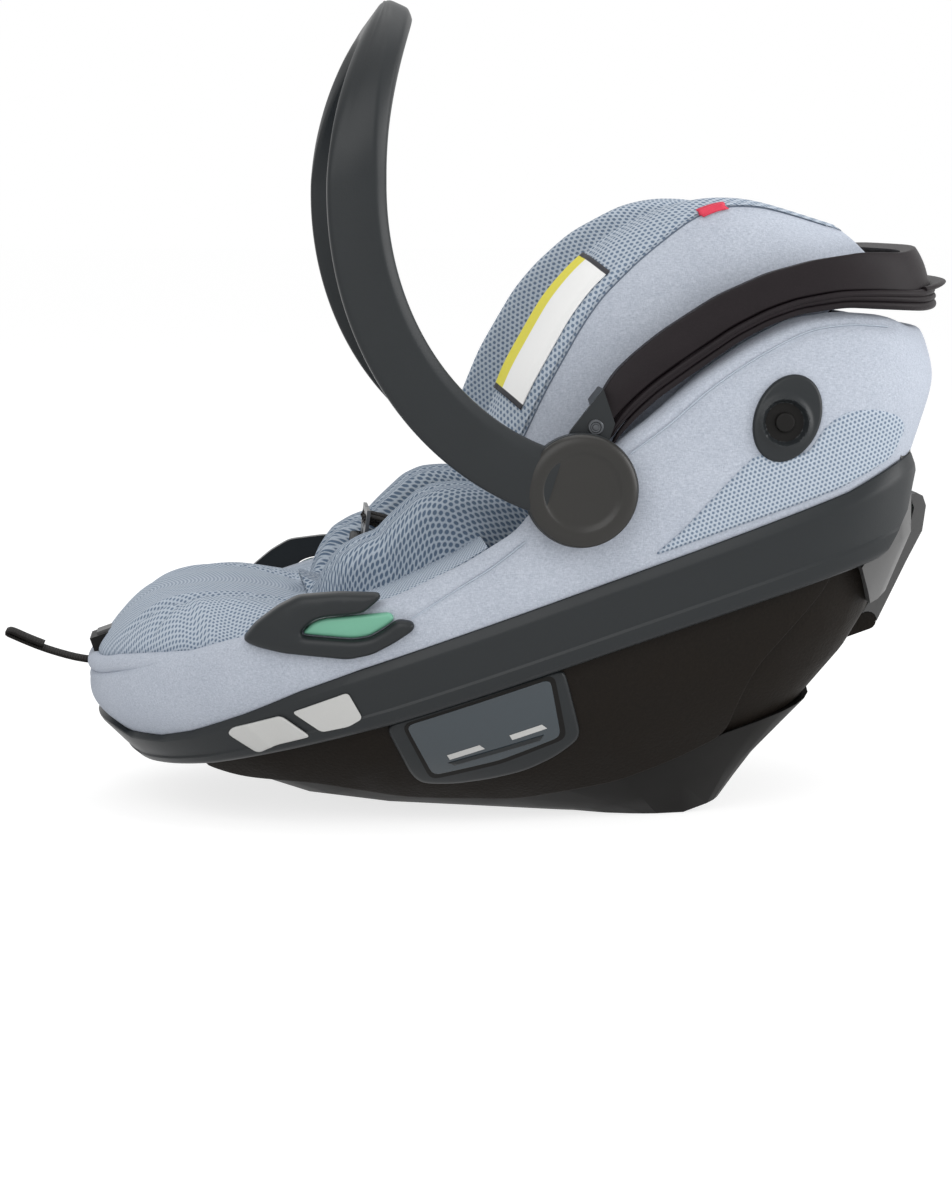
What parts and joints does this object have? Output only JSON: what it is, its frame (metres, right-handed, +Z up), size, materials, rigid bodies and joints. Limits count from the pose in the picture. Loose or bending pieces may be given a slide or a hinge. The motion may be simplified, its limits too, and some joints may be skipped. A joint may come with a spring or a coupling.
{
  "type": "infant car seat carrier",
  "caption": "Rearward facing baby shell for a car, with padded cloth cover, sliding headrest, folded canopy, belt guides and a turning carry handle.",
  "frame": {"origin": "on the ground under the middle of the bounding box, with the carrier standing on its foot as pictured", "axes": "+Z up, +X towards the head end, +Y towards the right side of the seated child, so -Y is the side the picture shows"},
  "size_m": [0.7422, 0.4448, 0.6428],
  "materials": {
    "cover_cloth": "melange knitted cloth, matt",
    "pad_mesh": "spacer mesh, matt",
    "dark_plastic": "fine grained, satin",
    "hub_plastic": "satin",
    "textured_plastic": "coarse grain, matt",
    "black_plastic": "fine grained, matt",
    "grey_plastic": "satin",
    "gloss_plastic": "gloss",
    "green_plastic": "satin",
    "pale_plastic": "satin",
    "canopy_cloth": "thin woven cloth, slight sheen",
    "webbing": "ribbed webbing, matt",
    "red_plastic": "satin",
    "steel": "brushed"
  },
  "bodies": {
    "carrier": {"adapter_frame_left": "dark_plastic", "adapter_frame_right": "dark_plastic", "adapter_pane_left": "gloss_plastic", "adapter_pane_right": "gloss_plastic", "adjuster_body": "black_plastic", "adjuster_strap": "webbing", "back_pad": "pad_mesh", "base_tray": "black_plastic", "belt_guide_left": "dark_plastic", "belt_guide_right": "dark_plastic", "buckle_body": "black_plastic", "buckle_tongue_left": "steel", "buckle_tongue_right": "steel", "crotch_strap": "webbing", "guide_insert_left": "green_plastic", "guide_insert_right": "green_plastic", "hip_inlay": "pad_mesh", "hip_strap_left": "webbing", "hip_strap_right": "webbing", "hub_base_left": "black_plastic", "hub_base_right": "black_plastic", "hub_pin_left": "steel", "hub_pin_right": "steel", "outer_cover": "cover_cloth", "rail_cap": "pale_plastic", "rear_frame": "grey_plastic", "seat_cushion": "pad_mesh", "seat_pan": "dark_plastic", "seat_shell": "textured_plastic", "shoulder_pad_left": "pad_mesh", "shoulder_pad_right": "pad_mesh", "shoulder_strap_left": "webbing", "shoulder_strap_right": "webbing", "side_panel_left": "textured_plastic", "side_panel_right": "textured_plastic", "side_rail_left": "dark_plastic", "side_rail_right": "dark_plastic", "side_socket_left": "dark_plastic", "side_socket_right": "dark_plastic", "socket_stud_left": "black_plastic", "socket_stud_right": "black_plastic"},
    "handle": {"handle_arch": "dark_plastic", "hub_cap_left": "hub_plastic", "hub_cap_right": "hub_plastic"},
    "grip_button": {"release_button": "pale_plastic"},
    "canopy": {"canopy_fabric": "canopy_cloth", "canopy_bow": "black_plastic", "canopy_visor": "canopy_cloth", "canopy_arm_left": "dark_plastic", "canopy_arm_right": "dark_plastic"},
    "headrest": {"headrest_plate": "dark_plastic", "headrest_pad": "pad_mesh", "head_inlay": "pad_mesh", "headrest_wing_left": "cover_cloth", "headrest_wing_right": "cover_cloth"},
    "harness_button": {"buckle_button": "red_plastic"},
    "adjuster_key": {"adjuster_button": "grey_plastic"},
    "release_paddle": {"rear_release": "grey_plastic", "release_insert": "green_plastic"}
  },
  "joints": [
    {"name": "handle_turn", "type": "hinge", "parent": "carrier", "child": "handle", "pos_m": [0.07123, 0, 0.27], "axis": [0, 1, 0], "range_deg": [0, 105]},
    {"name": "grip_press", "type": "slide", "parent": "handle", "child": "grip_button", "axis": [-0.9336, 0, -0.3584], "range_m": [0, 0.003], "stiffness_N_per_m": 400, "springref_m": -0.002},
    {"name": "canopy_turn", "type": "hinge", "parent": "carrier", "child": "canopy", "pos_m": [0.07123, 0, 0.27], "axis": [0, 1, 0], "range_deg": [-80, 0]},
    {"name": "headrest_slide", "type": "slide", "parent": "carrier", "child": "headrest", "axis": [0.6597, 0, 0.7516], "range_m": [0, 0.026]},
    {"name": "harness_press", "type": "slide", "parent": "carrier", "child": "harness_button", "axis": [0.9925, 0, -0.1219], "range_m": [0, 0.003], "stiffness_N_per_m": 600, "springref_m": -0.002},
    {"name": "adjuster_press", "type": "slide", "parent": "carrier", "child": "adjuster_key", "axis": [0.3256, 0, -0.9455], "range_m": [0, 0.003], "stiffness_N_per_m": 400, "springref_m": -0.002},
    {"name": "release_pull", "type": "hinge", "parent": "carrier", "child": "release_paddle", "pos_m": [0.32418, 0, 0.14663], "axis": [0, 1, 0], "range_deg": [0, 12], "stiffness_Nm_per_rad": 1.2, "springref_deg": -11.46}
  ]
}
